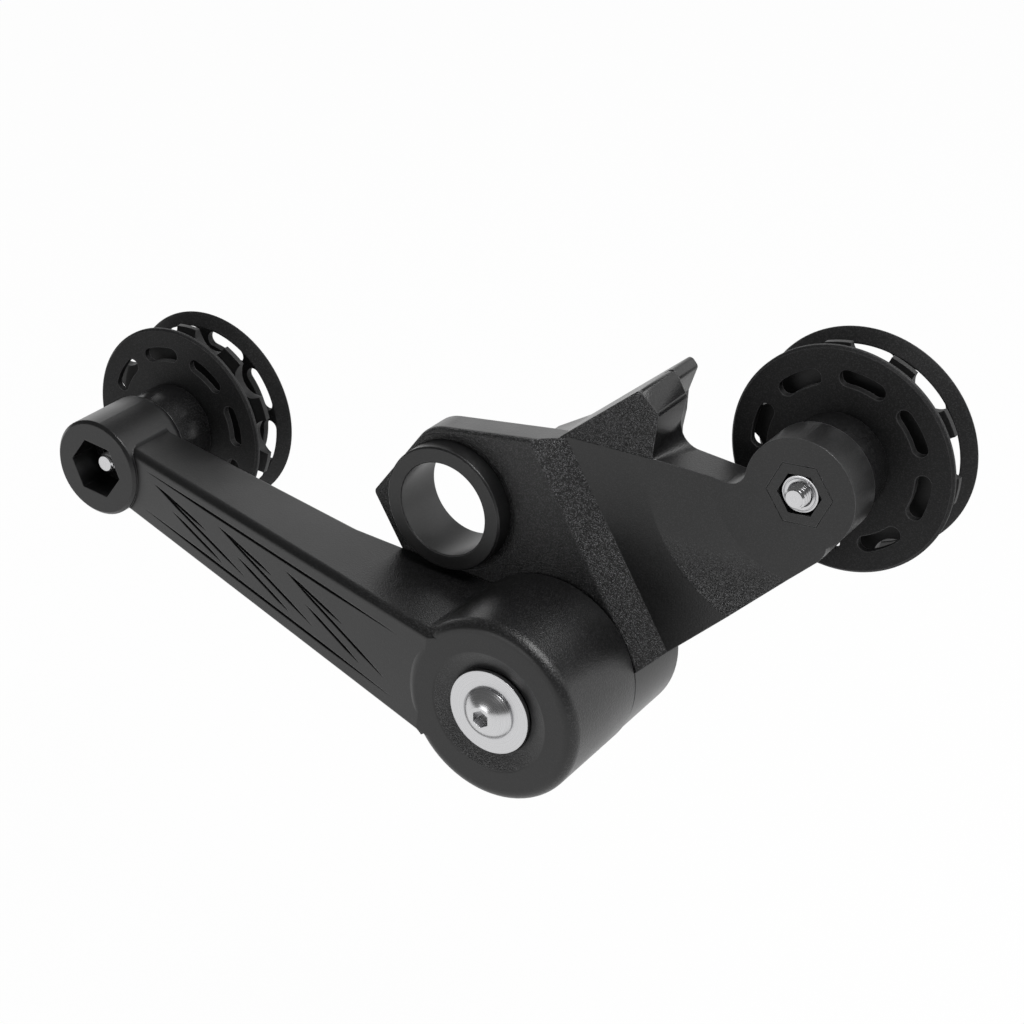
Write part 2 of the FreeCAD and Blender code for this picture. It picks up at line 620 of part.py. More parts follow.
def nut(x, z, flats, bore, front, depth, turn):
    """Hexagon nut with its corners turned off on both faces."""
    corner = across_flats(flats)
    face = flats / 2 - nut_face_inset
    drop = (corner - face) * 0.6
    blank = hexagon(x, z, corner, front, front + depth, turn)
    round_bar = turned(x, z, [(0, front), (face, front), (corner, front + drop),
                              (corner, front + depth - drop), (face, front + depth),
                              (0, front + depth)])
    return blank.common(round_bar).cut(cylinder(x, z, bore, front - 1, front + depth + 1))


def mount_sleeve():
    """Bush pressed into the plate, with both front edges bevelled."""
    back = plate_depth + sleeve_back
    c, b = sleeve_chamfer, bore_chamfer
    profile = [(bore_radius + b, -sleeve_proud), (sleeve_radius - c, -sleeve_proud),
               (sleeve_radius, c - sleeve_proud), (sleeve_radius, back), (bore_radius + b, back),
               (bore_radius, back - b), (bore_radius, b - sleeve_proud)]
    return turned(0, 0, profile)


def spacer(x, z, shank_front, boss_back, turn):
    """Hexagonal shank in the boss, with a pocket for the nut, and a round collar behind."""
    back = guide_front - side_gap
    body = hexagon(x, z, shank_corner, shank_front, boss_back + 1, turn)
    body = body.fuse(cylinder(x, z, collar_radius, boss_back, back))
    pocket = hexagon(x, z, across_flats(idler_nut_flats + 2 * slip_gap), shank_front - 1,
                     shank_front + nut_recess + idler_nut_depth + slip_gap, turn)
    return body.cut([pocket, cylinder(x, z, idler_bolt_radius + slip_gap, shank_front, back + 1)])


def slot_cut(x, z, radius, half, span, angle):
    """Curved slot with round ends, its middle at an angle."""
    y0, y1 = guide_front - 1, guide_front + far
    ring = tube(x, z, radius + half, radius - half, y0, y1)
    a0, a1 = angle - span / 2, angle + span / 2
    shape = ring.common(prism([(x, z), polar(x, z, 2 * radius, a0), polar(x, z, 2 * radius, a1)], y0, y1))
    ends = [cylinder(*polar(x, z, radius, a), half - 0.001, y0, y1) for a in (a0, a1)]
    return shape.fuse(ends)


def guide_disc(x, z, profile, slots):
    """Guide disc on the wheel's spigot, with a ring of curved slots."""
    count, radius, half, span, phase = slots
    cuts = [slot_cut(x, z, radius, half, span, phase + 360 / count * k) for k in range(count)]
    bore = cylinder(x, z, spigot_radius + seat_gap, guide_front - 1, guide_front + far)
    return turned(x, z, profile).cut(cuts + [bore])


def front_guide(x, z, phase):
    """Thin flat disc on the bracket's side of the chain."""
    back = guide_front + front_guide_depth
    edge = front_guide_depth / 3
    profile = [(0, guide_front), (guide_radius - edge, guide_front), (guide_radius, guide_front + edge),
               (guide_radius, back - edge), (guide_radius - edge, back), (0, back)]
    slots = (front_slot_count, front_slot_radius, front_slot_half, front_slot_span, phase)
    return guide_disc(x, z, profile, slots)


def rear_guide(x, z, gap, phase):
    """Thicker disc behind the chain, its inner rim bevelled to lead the chain in."""
    front = guide_front + front_guide_depth + gap
    back = front + rear_guide_depth
    edge = (rear_guide_depth - rim_drop) / 2
    profile = [(0, front), (guide_radius - rim_width, front), (guide_radius - edge, front + rim_drop),
               (guide_radius, front + rim_drop + edge), (guide_radius, back - edge),
               (guide_radius - edge, back), (guide_radius - rim_width, back),
               (guide_radius - rim_width, front + rear_web), (hub_radius, front + rear_web),
               (hub_radius, back), (0, back)]
    slots = (rear_slot_count, rear_slot_radius, rear_slot_half, rear_slot_span, phase)
    return guide_disc(x, z, profile, slots)


def toothed_wheel(x, z, gap, phase):
    """Chain wheel with roller seats, bevelled teeth and a hub as wide as the chain gap."""
    hub_front = guide_front + front_guide_depth
    hub_back = hub_front + gap
    guide_back = hub_back + rear_guide_depth
    y0 = (hub_front + hub_back - tooth_depth) / 2
    y1 = y0 + tooth_depth
    tip, bevel, drop = tooth_tip_radius, tooth_bevel, tooth_bevel_depth
    wheel = turned(x, z, [(0, y0), (tip - bevel, y0), (tip, y0 + drop), (tip, y1 - drop),
                          (tip - bevel, y1), (0, y1)])
    pitch_radius = chain_pitch / 2 / math.sin(math.pi / tooth_count)
    seats = []
    for k in range(tooth_count):
        angle = phase + 360 / tooth_count * (k + 0.5)
        sx, sz = polar(x, z, pitch_radius, angle)
        seats.append(cylinder(sx, sz, roller_radius, y0 - 1, y1 + 1))
        mouth = []
        for side in (1, -1):
            foot = polar(sx, sz, roller_radius, angle + side * (90 - tooth_flare))
            mouth.append([foot, polar(*foot, 8, angle + side * tooth_flare)])
        seats.append(prism([mouth[0][0], mouth[0][1], mouth[1][1], mouth[1][0]], y0 - 1, y1 + 1))
    hub = turned(x, z, [(0, guide_front), (spigot_radius, guide_front), (spigot_radius, hub_front),
                        (hub_radius, hub_front), (hub_radius, hub_back), (spigot_radius, hub_back),
                        (spigot_radius, guide_back), (0, guide_back)])
    return wheel.cut(seats).fuse(hub).cut(
        cylinder(x, z, bush_radius + run_gap, guide_front - 1, guide_back + 1))


def idler(name, x, z, gap, shank_front, boss_back, bolt_end, turn, slots, rear_slots, teeth):
    """All pieces of one idler, from the nut at the front to the screw head at the back."""
    bush_front = guide_front - side_gap
    bush_back = guide_front + front_guide_depth + gap + rear_guide_depth + side_gap
    washer_back = bush_back + idler_washer_depth
    bolt_bore = idler_bolt_radius + slip_gap
    return {
        name + "_spacer": spacer(x, z, shank_front, boss_back, turn),
        name + "_nut": nut(x, z, idler_nut_flats, idler_bolt_radius + seat_gap,
                           shank_front + nut_recess, idler_nut_depth, turn),
        name + "_front_guide": front_guide(x, z, slots),
        name + "_toothed_wheel": toothed_wheel(x, z, gap, teeth),
        name + "_rear_guide": rear_guide(x, z, gap, rear_slots),
        name + "_bush": tube(x, z, bush_radius, bolt_bore, bush_front, bush_back),
        name + "_washer": tube(x, z, idler_washer_radius, bolt_bore, bush_back, washer_back),
        name + "_screw": socket_screw(x, z, idler_bolt_radius, idler_head_radius, idler_head_height,
                                      idler_key, washer_back, bolt_end, 1),
    }


def pieces():
    """Every piece of the tensioner by its name."""
    found = {"bracket": bracket(), "mount_sleeve": mount_sleeve(), "swing_arm": swing_arm(),
             "torsion_spring": torsion_spring()}
    washer_back = washer_floor() - slip_gap
    washer_front = washer_back - pivot_washer_depth
    found["pivot_sleeve"] = tube(pivot_x, pivot_z, pivot_sleeve_radius, pivot_bolt_radius + slip_gap,
                                 washer_back, cavity_back + pivot_sleeve_seat)
    found["pivot_washer"] = tube(pivot_x, pivot_z, pivot_washer_radius, pivot_bolt_radius + slip_gap,
                                 washer_front, washer_back)
    found["pivot_screw"] = socket_screw(pivot_x, pivot_z, pivot_bolt_radius, pivot_head_radius,
                                        pivot_head_height, pivot_key, washer_front, pivot_boss_back, -1)
    found["pivot_nut"] = nut(pivot_x, pivot_z, pivot_nut_flats, pivot_bolt_radius + seat_gap,
                             pivot_boss_back - pivot_nut_depth, pivot_nut_depth, 0)
    turn = tip_hexagon - (180 - arm_angle)
    found.update(idler("sprung", tip_x, tip_z, sprung_gap, sprung_shank_front, arm_tip_back,
                       sprung_bolt_end, turn, sprung_slots, sprung_rear_slots, sprung_teeth))
    found.update(idler("fixed", tail_x, tail_z, fixed_gap, tail_boss_front, tail_boss_back,
                       fixed_bolt_end, tail_hexagon, fixed_slots, fixed_rear_slots, fixed_teeth))
    return found


os.makedirs("parts", exist_ok=True)
for name, shape in pieces().items():
    shape.exportStep("parts/" + name + ".step")
    print(name, len(shape.Solids), shape.isValid(), round(shape.Volume, 1))
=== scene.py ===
"""Looks of a sprung bicycle chain tensioner: its moulded, turned and plated pieces and the studio."""

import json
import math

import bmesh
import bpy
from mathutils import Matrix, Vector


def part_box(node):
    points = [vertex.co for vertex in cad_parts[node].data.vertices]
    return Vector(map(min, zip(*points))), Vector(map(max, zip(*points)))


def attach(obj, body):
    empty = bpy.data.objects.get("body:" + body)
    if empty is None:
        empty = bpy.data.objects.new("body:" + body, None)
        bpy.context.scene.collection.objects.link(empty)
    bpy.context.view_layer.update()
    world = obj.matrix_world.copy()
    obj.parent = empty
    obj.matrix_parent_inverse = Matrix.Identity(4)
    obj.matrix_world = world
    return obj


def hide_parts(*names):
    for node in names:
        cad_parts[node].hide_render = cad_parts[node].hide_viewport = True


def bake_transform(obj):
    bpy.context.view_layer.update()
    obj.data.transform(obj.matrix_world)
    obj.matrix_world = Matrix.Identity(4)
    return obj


bl_info = {
    "name": "Bicycle Chain Tensioner",
    "version": (1, 0, 0),
    "blender": (4, 5, 0),
    "location": "3D View > Sidebar > Tensioner",
    "description": "Finishes the moulded bracket, the swing arm, the idlers and their screws",
    "category": "Object",
}

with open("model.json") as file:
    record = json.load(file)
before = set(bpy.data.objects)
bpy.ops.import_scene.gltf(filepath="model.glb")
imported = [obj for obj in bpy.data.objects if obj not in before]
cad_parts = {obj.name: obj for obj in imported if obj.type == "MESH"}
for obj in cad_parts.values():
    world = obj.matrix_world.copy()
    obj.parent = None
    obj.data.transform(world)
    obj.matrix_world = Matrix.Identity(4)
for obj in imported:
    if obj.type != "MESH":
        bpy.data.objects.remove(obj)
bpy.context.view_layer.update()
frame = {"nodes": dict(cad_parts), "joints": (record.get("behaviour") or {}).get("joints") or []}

MM = 0.001
JOINTS = {joint["name"]: Vector(joint["pos_m"]) for joint in frame["joints"]}
PIVOT = JOINTS["arm_swing"]
SPRUNG = JOINTS["sprung_idler_spin"]
FIXED = JOINTS["fixed_idler_spin"]

# The bracket's pitted places: the slanted band, the cone below the lug, and the lug
BAND_ACROSS = (0.8634, 0.5045)
BAND_EDGES = (22.3 * MM, 28.0 * MM)
BAND_FADE = (-34.0 * MM, -4.0 * MM)
PLATE_EDGE = (22.1 * MM, 22.4 * MM)
CONE_REACH = (16.5 * MM, 28.5 * MM)
CONE_FADE = (-9.0 * MM, 7.0 * MM)
CONE_TOP = (17.5 * MM, 17.7 * MM)
CONE_DEPTH = (4.9 * MM, 5.1 * MM)
LUG_FOOT = (17.5 * MM, 17.8 * MM)
LUG_REACH = (15.5 * MM, 16.5 * MM)

# The arm's: the pivot boss's front rim, the bar near that boss, and the dish round the washer, whose
# pits and painted glints grow towards its lower left as a painted highlight
RIM_DEPTH = (-19.2 * MM, -18.2 * MM)
RIM_REACH = (14.0 * MM, 15.0 * MM)
BAR_FADE = (24.0 * MM, 52.0 * MM)
DISH_DEPTH = (-21.75 * MM, -21.6 * MM)
DISH_REACH = (11.6 * MM, 12.0 * MM)
DISH_SIDE = (0.55, 0.83)
DISH_FADE = (-2.0 * MM, 8.0 * MM)

# Corners of the lug's drafted end, (x, z, y) in millimetres, and how it goes into the lug
LUG_END = {
    "front": [(37.70, 30.77, 1.09), (40.99, 27.16, 1.62)],
    "back": [(38.64, 31.55, 11.05), (40.11, 29.92, 11.05), (40.99, 27.16, 11.78)],
}
LUG_INWARD = Vector((-1.4 * MM, 0.0, -1.3 * MM))
LUG_CROWN = 0.85 * MM

# Screws: width of the socket, radius of the shank and pitch; length of thread; the idlers' nuts
M5 = {"key": 3.0 * MM, "shank": 2.5 * MM, "pitch": 0.8 * MM}
M4 = {"key": 2.5 * MM, "shank": 2.0 * MM, "pitch": 0.7 * MM}
PIVOT_THREAD = 6.0 * MM
IDLER_THREAD = 8.0 * MM
NUT_FLATS = 7.0 * MM
NUT_BORE = 2.03 * MM

# Place and size of the softboxes, and the camera fitted to the photo
OVERHEAD_BOX = ((0.42, 0.08, 0.80), (0.80, 0.34))
FRONT_BOX = ((-0.22, -0.86, 0.09), (0.40, 0.25))
CAMERA_PLACE = (0.21136, -0.31111, 0.18634)
CAMERA_TURN = (math.pi / 2 - 0.46442, 0.0, 0.568063)
CAMERA_LENS = 80.483
CAMERA_SENSOR = 36.0


# Node trees

class Tree:
    """Adds nodes to a material or a node group, a line a node."""

    def __init__(self, owner):
        self.nodes = owner.nodes
        self.links = owner.links

    def add(self, kind, inputs=None, **settings):
        """A node with its settings, its inputs given as values or as other sockets."""
        node = self.nodes.new(kind)
        for key, value in settings.items():
            setattr(node, key, value)
        for key, value in (inputs or {}).items():
            if isinstance(value, bpy.types.NodeSocket):
                self.links.new(value, node.inputs[key])
            else:
                node.inputs[key].default_value = value
        return node

    def math(self, operation, a, b=0.0, clamp=False):
        """Result of a Math node."""
        node = self.add("ShaderNodeMath", {0: a, 1: b}, operation=operation, use_clamp=clamp)
        return node.outputs[0]

    def ramp(self, value, low, high, to_low=0.0, to_high=1.0):
        """Smooth step of a value between two limits."""
        node = self.add("ShaderNodeMapRange", {"Value": value, "From Min": low, "From Max": high,
                                               "To Min": to_low, "To Max": to_high},
                        interpolation_type="SMOOTHSTEP")
        return node.outputs["Result"]

    def place(self):
        """Object coordinates as (x, y, z) sockets."""
        coords = self.add("ShaderNodeTexCoord").outputs["Object"]
        split = self.add("ShaderNodeSeparateXYZ", {"Vector": coords})
        return split.outputs["X"], split.outputs["Y"], split.outputs["Z"]

    def facing(self, full, none):
        """1 on faces whose normal has a y under one limit, falling to 0 at the other."""
        normal = self.add("ShaderNodeNewGeometry").outputs["Normal"]
        side = self.add("ShaderNodeSeparateXYZ", {"Vector": normal}).outputs["Y"]
        return self.ramp(side, full, none, 1.0, 0.0)

    def front(self):
        """1 on faces that look straight forward, towards -y."""
        return self.facing(-0.90, -0.80)

    def outside(self):
        """1 on faces that look forward at any slant, and 0 on the hollow back."""
        return self.facing(-0.3, -0.1)

    def reach(self, centre):
        """Distance from an axis along y through a point."""
        x, _, z = self.place()
        dx = self.math("SUBTRACT", x, centre.x)
        dz = self.math("SUBTRACT", z, centre.z)
        square = self.math("ADD", self.math("MULTIPLY", dx, dx), self.math("MULTIPLY", dz, dz))
        return self.math("SQRT", square)

    def both(self, *masks):
        """Product of masks."""
        result = masks[0]
        for mask in masks[1:]:
            result = self.math("MULTIPLY", result, mask)
        return result

    def either(self, *masks):
        """Largest of masks."""
        result = masks[0]
        for mask in masks[1:]:
            result = self.math("MAXIMUM", result, mask)
        return result

    def between(self, value, low, high, soft=0.25 * MM):
        """1 between two limits, fading out over a short way."""
        return self.both(self.ramp(value, low - soft, low + soft),
                         self.ramp(value, high - soft, high + soft, 1.0, 0.0))


def new_group(name, inputs, outputs):
    """Empty node group; sockets are (name, kind, default)."""
    group = bpy.data.node_groups.new(name, "ShaderNodeTree")
    for label, kind, default in inputs:
        socket = group.interface.new_socket(name=label, in_out="INPUT", socket_type=kind)
        if default is not None:
            socket.default_value = default
    for label, kind in outputs:
        group.interface.new_socket(name=label, in_out="OUTPUT", socket_type=kind)
    tree = Tree(group)
    return group, tree, tree.add("NodeGroupInput").outputs, tree.add("NodeGroupOutput").inputs


def spark_grain_group():
    """Fine pitted grain of a spark-eroded mould, and a mask of scattered points that are painted paler
    as glints, a painted highlight.
    """
    group, t, put, out = new_group(
        "spark_grain",
        [("Fineness", "NodeSocketFloat", 2300.0), ("Mask", "NodeSocketFloat", 1.0)],
        [("Height", "NodeSocketFloat"), ("Glint", "NodeSocketFloat"), ("Drift", "NodeSocketFloat")])
    coords = t.add("ShaderNodeTexCoord").outputs["Object"]
    fine = t.add("ShaderNodeTexNoise", {"Vector": coords, "Scale": put["Fineness"], "Detail": 1.0})
    coarse_scale = t.math("MULTIPLY", put["Fineness"], 0.55)
    coarse = t.add("ShaderNodeTexNoise", {"Vector": coords, "Scale": coarse_scale, "Detail": 1.0})
    drift = t.add("ShaderNodeTexNoise", {"Vector": coords, "Scale": 70.0, "Detail": 3.0})
    mixed = t.math("ADD", t.math("MULTIPLY", fine.outputs["Fac"], 0.35),
                   t.math("MULTIPLY", coarse.outputs["Fac"], 0.65))
    raised = t.ramp(mixed, 0.38, 0.62)
    # Painted glints: scattered grain cells whose colour is later brightened, standing in for light
    # caught by the pits
    point = t.add("ShaderNodeTexVoronoi", {"Vector": coords, "Scale": put["Fineness"]}).outputs
    spot = t.ramp(point["Distance"], 0.45, 0.75, 1.0, 0.0)
    light = t.ramp(t.add("ShaderNodeSeparateColor", {"Color": point["Color"]}).outputs[0], 0.35, 1.0)
    t.links.new(t.math("MULTIPLY", raised, put["Mask"]), out["Height"])
    t.links.new(t.both(spot, light, put["Mask"]), out["Glint"])
    t.links.new(drift.outputs["Fac"], out["Drift"])
    return group


def soft_edge_group():
    """Normal that rounds sharp corners a little, and a mask of those corners."""
    group, t, put, out = new_group(
        "soft_edges", [("Radius", "NodeSocketFloat", 0.0003)],
        [("Normal", "NodeSocketVector"), ("Corner", "NodeSocketFloat")])
    bevel = t.add("ShaderNodeBevel", {"Radius": put["Radius"]}, samples=6)
    plain = t.add("ShaderNodeNewGeometry").outputs["Normal"]
    dot = t.add("ShaderNodeVectorMath", {0: bevel.outputs["Normal"], 1: plain}, operation="DOT_PRODUCT")
    t.links.new(bevel.outputs["Normal"], out["Normal"])
    t.links.new(t.ramp(dot.outputs["Value"], 0.995, 0.86), out["Corner"])
    return group


def turning_group():
    """Fine concentric marks round an axis along y, left by turning or brushing."""
    group, t, put, out = new_group(
        "turning_marks",
        [("Centre", "NodeSocketVector", (0.0, 0.0, 0.0)), ("Fineness", "NodeSocketFloat", 9000.0)],
        [("Height", "NodeSocketFloat"), ("Shade", "NodeSocketFloat")])
    coords = t.add("ShaderNodeTexCoord").outputs["Object"]
    off = t.add("ShaderNodeVectorMath", {0: coords, 1: put["Centre"]}, operation="SUBTRACT")
    flat = t.add("ShaderNodeVectorMath", {0: off.outputs[0], 1: (1.0, 0.0, 1.0)}, operation="MULTIPLY")
    reach = t.add("ShaderNodeVectorMath", {0: flat.outputs[0]}, operation="LENGTH").outputs["Value"]
    marks = t.add("ShaderNodeTexNoise", {"W": reach, "Scale": put["Fineness"], "Detail": 2.0},
                  noise_dimensions="1D")
    t.links.new(marks.outputs["Fac"], out["Height"])
    t.links.new(t.ramp(marks.outputs["Fac"], 0.3, 0.7), out["Shade"])
    return group


GROUPS = {}


def use_group(tree, name, **inputs):
    """Places a shared node group, built the first time it is asked for."""
    makers = {"spark_grain": spark_grain_group, "soft_edges": soft_edge_group,
              "turning_marks": turning_group}
    if name not in GROUPS:
        GROUPS[name] = makers[name]()
    return tree.add("ShaderNodeGroup", inputs, node_tree=GROUPS[name]).outputs


def new_material(name):
    """Material with an empty tree and a Principled shader."""
    material = bpy.data.materials.new(name)
    material.use_nodes = True
    material.node_tree.nodes.clear()
    tree = Tree(material.node_tree)
    shader = tree.add("ShaderNodeBsdfPrincipled")
    output = tree.add("ShaderNodeOutputMaterial")
    tree.links.new(shader.outputs[0], output.inputs["Surface"])
    return material, tree, shader


def moulded_nylon(name, tone, mask, rough=(0.33, 0.29), depth=0.14, fineness=5600.0, edge=0.3,
                  gloss=0.5, sparkle=24.0, rim=0.5):
    """Black nylon: satin where the mould is polished, pitted where a mask says.

    rough is the roughness of the two, depth the pits' and edge the softened corners' in
    millimetres; sparkle sets how bright the painted glints on the pits' points and the painted
    highlights on the corners are, and rim how strongly the corners get that painted highlight.
    """
    material, t, shader = new_material(name)
    shader.inputs["Specular IOR Level"].default_value = gloss
    grain_mask = mask(t)
    grain = use_group(t, "spark_grain", Fineness=fineness, Mask=grain_mask)
    corner = use_group(t, "soft_edges", Radius=edge * MM)
    # Painted highlight: the glint points and the softened corners are mixed towards a brighter colour,
    # standing in for light they catch
    pale = [sparkle * c for c in tone[:3]] + [1.0]
    painted_highlight = t.math("ADD", grain["Glint"], t.math("MULTIPLY", corner["Corner"], rim), clamp=True)
    colour = t.add("ShaderNodeMix", {"Factor": painted_highlight, "A": tone, "B": pale}, data_type="RGBA")
    t.links.new(colour.outputs["Result"], shader.inputs["Base Color"])
    satin = t.ramp(grain["Drift"], 0.3, 0.7, rough[0] - 0.03, rough[0] + 0.04)
    coarse = t.math("MULTIPLY", grain_mask, rough[1] - rough[0])
    t.links.new(t.math("ADD", satin, coarse), shader.inputs["Roughness"])
    bump = t.add("ShaderNodeBump", {"Strength": 1.0, "Distance": depth * MM,
                                    "Height": grain["Height"], "Normal": corner["Normal"]})
    t.links.new(bump.outputs["Normal"], shader.inputs["Normal"])
    return material


def plated_steel(name, tone, rough, centre, marks=0.004, edge=0.2):
    """Bright steel with fine turning marks round an axis."""
    material, t, shader = new_material(name)
    rings = use_group(t, "turning_marks", Centre=tuple(centre))
    corner = use_group(t, "soft_edges", Radius=edge * MM)
    dull = [0.86 * c for c in tone[:3]] + [1.0]
    colour = t.add("ShaderNodeMix", {"Factor": rings["Shade"], "A": dull, "B": tone}, data_type="RGBA")
    t.links.new(colour.outputs["Result"], shader.inputs["Base Color"])
    shader.inputs["Metallic"].default_value = 1.0
    worn = t.ramp(rings["Height"], 0.3, 0.7, rough * 0.85, rough * 1.2)
    t.links.new(worn, shader.inputs["Roughness"])
    bump = t.add("ShaderNodeBump", {"Strength": 1.0, "Distance": marks * MM, "Height": rings["Height"],
                                    "Normal": corner["Normal"]})
    t.links.new(bump.outputs["Normal"], shader.inputs["Normal"])
    return material


# Where each moulding is pitted

def everywhere(level):
    """Mask that is the same all over."""
    return lambda t: level


def bracket_mask(t):
    """Slanted band, cone and lug are pitted, and the plate a little; the pits carry painted glints,
    which on the band thin out towards the bottom.
    """
    x, y, z = t.place()
    across, up = BAND_ACROSS
    slant = t.math("ADD", t.math("MULTIPLY", x, across), t.math("MULTIPLY", z, up))
    fade = t.ramp(z, *BAND_FADE, 0.3, 0.9)
    band = t.both(t.between(slant, *BAND_EDGES), fade, t.outside())
    reach = t.reach(FIXED)
    low = t.ramp(z, *CONE_TOP, 1.0, 0.0)
    front = t.ramp(y, *CONE_DEPTH, 1.0, 0.0)
    below = t.ramp(z, *CONE_FADE, 1.0, 0.0)
    cone = t.both(t.between(reach, *CONE_REACH), low, front, below)
    lug = t.both(t.ramp(z, *LUG_FOOT), t.front(), t.ramp(reach, *LUG_REACH), 0.8)
    plate = t.both(t.ramp(slant, *PLATE_EDGE, 1.0, 0.0), t.outside(), 0.36)
    return t.either(band, cone, lug, plate, 0.07)


def arm_mask(t):
    """The dish round the washer is pitted, most towards its lower left, where its painted glints stand
    in for a highlight, and the boss's rim and bar a little.
    """
    x, y, z = t.place()
    reach = t.reach(PIVOT)
    sides = t.math("SUBTRACT", 1.0, t.front())
    ahead = t.ramp(y, *RIM_DEPTH, 1.0, 0.0)
    rim = t.both(sides, ahead, t.ramp(reach, *RIM_REACH), 0.16)
    near = t.both(sides, t.ramp(reach, *BAR_FADE, 1.0, 0.0), 0.14)
    # Painted highlight: grain and its painted glints grow towards the dish's lower left
    left = t.math("MULTIPLY", t.math("SUBTRACT", PIVOT.x, x), DISH_SIDE[0])
    down = t.math("MULTIPLY", t.math("SUBTRACT", PIVOT.z, z), DISH_SIDE[1])
    side = t.ramp(t.math("ADD", left, down), *DISH_FADE, 0.1, 0.45)
    dish = t.both(t.ramp(y, *DISH_DEPTH), t.ramp(reach, *DISH_REACH, 1.0, 0.0), side)
    return t.either(rim, near, dish, 0.04)


# Turned pieces, modelled along z with the head up and then set along y, and what finishes a piece

def lathe(mesh, profile, steps=64):
    """Spins a profile of (radius, z) points round z and closes its seam and poles."""
    verts = [mesh.verts.new((r, 0.0, z)) for r, z in profile]
    edges = [mesh.edges.new(pair) for pair in zip(verts, verts[1:])]
    bmesh.ops.spin(mesh, geom=verts + edges, cent=(0, 0, 0), axis=(0, 0, 1), angle=2 * math.pi,
                   steps=steps, use_merge=True)
    bmesh.ops.remove_doubles(mesh, verts=mesh.verts, dist=1e-7)


def rim_edges(mesh, z, tolerance=1e-6):
    """Open edges at a height."""
    return [e for e in mesh.edges
            if e.is_boundary and all(abs(v.co.z - z) < tolerance for v in e.verts)]


def new_piece(mesh, name, material, smooth_angle=35.0):
    """Turns a bmesh into a smooth-shaded object at the origin, its normals outward."""
    bmesh.ops.recalc_face_normals(mesh, faces=mesh.faces)
    data = bpy.data.meshes.new(name)
    mesh.to_mesh(data)
    mesh.free()
    data.materials.append(material)
    data.shade_smooth()
    data.set_sharp_from_angle(angle=math.radians(smooth_angle))
    piece = bpy.data.objects.new(name, data)
    bpy.context.scene.collection.objects.link(piece)
    return piece


def finish_piece(mesh, name, matrix, body, material, replaced, smooth_angle=35.0):
    """Sets a bmesh in its place as a piece that rides a body and stands for a CAD node."""
    bmesh.ops.transform(mesh, matrix=matrix, verts=mesh.verts)
    piece = new_piece(mesh, name, material, smooth_angle)
    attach(piece, body)
    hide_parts(replaced)


def along_y(centre, y, toward):
    """Matrix that sets a piece modelled along z on an axis along y, its head to +y (1) or -y (-1)."""
    turn = Matrix.Rotation(math.radians(-90 * toward), 4, "X")
    return Matrix.Translation(Vector((centre.x, y, centre.z))) @ turn


def screw_mesh(head, height, length, thread, key, shank, pitch):
    """Button-head screw with a hexagon socket and a cut thread at its end, in metres."""
    mesh = bmesh.new()
    steps = 48
    arcs = 12
    break_edge = 0.12 * MM
    foot = 0.16 * height
    socket = key / math.sqrt(3)
    mouth = height - 0.05 * MM
    socket_depth = 0.62 * height
    lip = socket + 0.3 * MM
    core = shank - 0.54 * pitch
    profile = [(shank, 0.0), (head - break_edge, 0.0), (head, break_edge), (head, foot)]
    low = (lip ** 2 + height ** 2 - head ** 2 - foot ** 2) / (2 * (height - foot))
    ball = math.hypot(head, foot - low)
    for k in range(1, arcs + 1):
        r = head + (lip - head) * k / arcs
        profile.append((r, low + math.sqrt(ball ** 2 - r ** 2)))
    lathe(mesh, profile, steps)
    hexagon = bmesh.ops.create_circle(mesh, radius=socket, segments=6,
                                      matrix=Matrix.Translation((0, 0, mouth)))
    ring = [e for e in mesh.edges if all(v in hexagon["verts"] for v in e.verts)]
    bmesh.ops.subdivide_edges(mesh, edges=ring, cuts=steps // 6 - 1)
    inner = [e for e in mesh.edges
             if not e.link_faces and all(abs(v.co.z - mouth) < 1e-7 for v in e.verts)]
    outer = rim_edges(mesh, height)
    bmesh.ops.bridge_loops(mesh, edges=inner + outer)
    extrude_and_close(mesh, inner, -socket_depth)
    start = thread - length
    extrude_and_close(mesh, rim_edges(mesh, 0.0), start)
    add_thread(mesh, shank, core, pitch, start + 0.2 * MM, -length)
    return mesh


def extrude_and_close(mesh, edges, way):
    """Draws a loop of edges out along z and closes its end."""
    wall = bmesh.ops.extrude_edge_only(mesh, edges=edges)["geom"]
    ends = [g for g in wall if isinstance(g, bmesh.types.BMVert)]
    bmesh.ops.translate(mesh, verts=ends, vec=(0, 0, way))
    bmesh.ops.contextual_create(mesh, geom=[g for g in wall if isinstance(g, bmesh.types.BMEdge)])


def keep_below(mesh, point, normal):
    """Cuts off what lies past a plane and closes the cut."""
    cut = bmesh.ops.bisect_plane(mesh, geom=mesh.verts[:] + mesh.edges[:] + mesh.faces[:],
                                 plane_co=point, plane_no=normal, clear_outer=True)
    loop = [g for g in cut["geom_cut"] if isinstance(g, bmesh.types.BMEdge)]
    bmesh.ops.contextual_create(mesh, geom=loop)


def nut_mesh(flats, bore, depth, turn):
    """Hexagon lock nut: corners turned off, bore countersunk, a groove round its collar in front."""
    mesh = bmesh.new()
    corner = flats / math.sqrt(3)
    face = flats / 2 - 0.15 * MM
    sink = 0.35 * MM
    ring = bore + 0.75 * MM
    groove = depth - 0.2 * MM
    rear = [(bore + sink, 0.0), (face, 0.0), (corner, 0.3 * MM), (corner, depth - 1.2 * MM)]
    crown = [(face + 0.15 * MM, depth - sink), (face, depth - 0.05 * MM), (face - 0.15 * MM, depth)]
    collar = [(ring + 0.3 * MM, depth), (ring + 0.22 * MM, groove), (ring + 0.08 * MM, groove),
              (ring, depth)]
    hole = [(bore + 0.3 * MM, depth), (bore, depth - sink), (bore, sink), (bore + sink, 0.0)]
    lathe(mesh, rear + crown + collar + hole)
    for k in range(6):
        angle = turn + k * math.pi / 3
        side = Vector((math.cos(angle), math.sin(angle), 0.0))
        keep_below(mesh, side * flats / 2, side)
    return mesh


